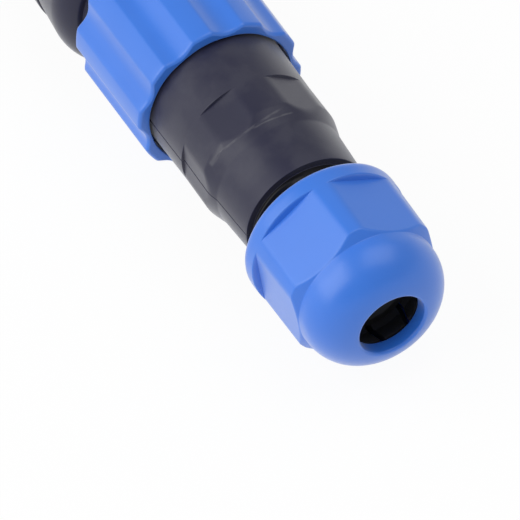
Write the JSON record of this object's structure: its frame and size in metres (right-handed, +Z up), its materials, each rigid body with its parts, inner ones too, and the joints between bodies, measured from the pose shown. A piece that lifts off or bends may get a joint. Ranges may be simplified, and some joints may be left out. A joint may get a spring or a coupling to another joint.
{
  "type": "waterproof cable connector",
  "caption": "Round in-line waterproof cable connector: plug and receptacle drawn together by a fluted coupling ring, with a domed screw gland at each cable end.",
  "frame": {"origin": "on the resting surface, under the middle of the connector's length", "axes": "+X along the connector's axis towards the plug's cable end, +Z up, the axis lies 15.77 mm above the surface"},
  "size_m": [0.1528, 0.032, 0.0315],
  "materials": {
    "blue_plastic": "satin moulded blue plastic",
    "black_plastic": "satin moulded black plastic",
    "seal_rubber": "soft black rubber",
    "insulator": "fine matt insulating plastic",
    "contact_brass": "bright plated brass",
    "screw_steel": "turned steel"
  },
  "bodies": {
    "plug": {"plug_shell": "black_plastic", "plug_cable_seal": "seal_rubber", "plug_barrel": "black_plastic", "barrel_o_ring": "seal_rubber", "face_seal": "seal_rubber", "plug_insert": "insulator", "contact_pin_1": "contact_brass", "contact_pin_2": "contact_brass", "contact_pin_3": "contact_brass", "contact_pin_4": "contact_brass", "pin_terminal_screws": "screw_steel"},
    "coupling": {"coupling_ring": "blue_plastic"},
    "plug_clamp": {"plug_clamp_claw": "black_plastic"},
    "plug_nut": {"plug_gland_nut": "blue_plastic"},
    "receptacle": {"receptacle_shell": "black_plastic", "receptacle_insert": "insulator", "contact_socket_1": "contact_brass", "contact_socket_2": "contact_brass", "contact_socket_3": "contact_brass", "contact_socket_4": "contact_brass", "socket_terminal_screws": "screw_steel", "receptacle_rear_shell": "black_plastic", "receptacle_shell_o_ring": "seal_rubber", "receptacle_cable_seal": "seal_rubber"},
    "receptacle_clamp": {"receptacle_clamp_claw": "black_plastic"},
    "receptacle_nut": {"receptacle_gland_nut": "blue_plastic"}
  },
  "joints": [
    {"name": "ring_turn", "type": "hinge", "parent": "plug", "child": "coupling", "pos_m": [0, 0, 0.01577], "axis": [1, 0, 0], "range_deg": [0, 1440]},
    {"name": "receptacle_slide", "type": "slide", "parent": "plug", "child": "receptacle", "axis": [-1, 0, 0], "range_m": [0, 0.008]},
    {"name": "plug_clamp_slide", "type": "slide", "parent": "plug", "child": "plug_clamp", "axis": [1, 0, 0], "range_m": [0, 0.007]},
    {"name": "plug_nut_turn", "type": "hinge", "parent": "plug_clamp", "child": "plug_nut", "pos_m": [0.06, 0, 0.01577], "axis": [1, 0, 0], "range_deg": [0, 1260]},
    {"name": "receptacle_clamp_slide", "type": "slide", "parent": "receptacle", "child": "receptacle_clamp", "axis": [-1, 0, 0], "range_m": [0, 0.007]},
    {"name": "receptacle_nut_turn", "type": "hinge", "parent": "receptacle_clamp", "child": "receptacle_nut", "pos_m": [-0.06, 0, 0.01577], "axis": [-1, 0, 0], "range_deg": [0, 1260]}
  ],
  "couplings": [
    {"joint": "ring_turn", "follows": "receptacle_slide", "rad_per_m": 3141.6},
    {"joint": "plug_nut_turn", "follows": "plug_clamp_slide", "rad_per_m": 3141.6},
    {"joint": "receptacle_nut_turn", "follows": "receptacle_clamp_slide", "rad_per_m": 3141.6}
  ]
}
